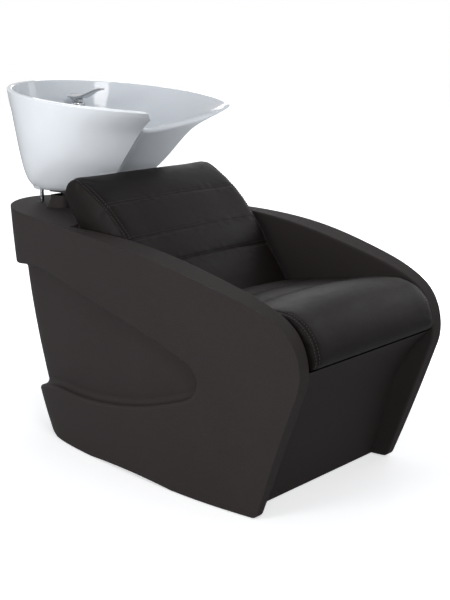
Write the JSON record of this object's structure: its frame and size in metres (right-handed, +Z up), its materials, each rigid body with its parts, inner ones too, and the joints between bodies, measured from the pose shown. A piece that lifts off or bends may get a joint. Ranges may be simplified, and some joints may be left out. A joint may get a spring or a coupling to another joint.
{
  "type": "backwash unit",
  "caption": "Salon backwash unit: moulded chair body with padded seat and back, and a tilting ceramic basin with neck notch, lever mixer and hand shower.",
  "frame": {"origin": "centre of the footprint box on the floor", "axes": "+Z up, -Y towards the front of the seat, +X to the sitter's left"},
  "size_m": [0.7271, 1.2044, 0.9922],
  "materials": {
    "charcoal_moulding": "fine textured moulding",
    "dark_leather": "soft sheen",
    "white_ceramic": "glossy glaze",
    "chrome_plate": "polished",
    "bright_steel": "zinc plated",
    "dark_steel": "black powder coat",
    "black_rubber": "matte",
    "white_plastic": "moulded",
    "plywood": "raw birch plywood"
  },
  "bodies": {
    "chair": {"body_shell": "charcoal_moulding", "seat_board": "plywood", "back_board": "plywood", "seat_cushion": "dark_leather", "back_cushion": "dark_leather", "hinge_bracket": "dark_steel", "hinge_pins": "bright_steel", "base_frame": "dark_steel", "basin_stand": "dark_steel", "stand_bolts": "bright_steel", "seat_posts": "dark_steel", "floor_feet": "black_rubber", "rod_bushes": "black_rubber", "seat_screws": "bright_steel", "back_screws": "bright_steel"},
    "basin_unit": {"basin": "white_ceramic", "tilt_cradle": "dark_steel", "hinge_bushes": "black_rubber", "basin_washers": "black_rubber", "basin_bolts": "bright_steel", "waste_flange": "chrome_plate", "waste_gasket": "black_rubber", "waste_nut": "white_plastic", "waste_tail": "white_plastic", "mixer_seal": "black_rubber", "mixer_body": "chrome_plate", "mixer_shank": "bright_steel", "mixer_nut": "bright_steel", "shower_collar": "chrome_plate", "collar_nut": "white_plastic"},
    "props": {"support_rods": "chrome_plate", "rod_tips": "black_rubber"},
    "turret": {"lever_turret": "chrome_plate"},
    "lever": {"mixer_lever": "chrome_plate"},
    "shower": {"hand_shower": "chrome_plate"},
    "strainer": {"hair_strainer": "chrome_plate"}
  },
  "joints": [
    {"name": "basin_tilt", "type": "hinge", "parent": "chair", "child": "basin_unit", "pos_m": [0, 0.3928, 0.668], "axis": [-1, 0, 0], "range_deg": [0, 8]},
    {"name": "prop_slide", "type": "slide", "parent": "chair", "child": "props", "axis": [0, 0, 1], "range_m": [-0.016, 0]},
    {"name": "lever_swivel", "type": "hinge", "parent": "basin_unit", "child": "turret", "pos_m": [0.06, 0.4658, 0.932], "axis": [0, 0, 1], "range_deg": [-45, 45]},
    {"name": "lever_lift", "type": "hinge", "parent": "turret", "child": "lever", "pos_m": [0.06, 0.4798, 0.9443], "axis": [-1, 0, 0], "range_deg": [0, 20]},
    {"name": "shower_pull", "type": "slide", "parent": "basin_unit", "child": "shower", "axis": [0, 0, 1], "range_m": [0, 0.14]},
    {"name": "strainer_lift", "type": "slide", "parent": "basin_unit", "child": "strainer", "axis": [0, 0, 1], "range_m": [0, 0.05]}
  ],
  "couplings": [
    {"joint": "prop_slide", "follows": "basin_tilt", "m_per_rad": -0.103}
  ]
}
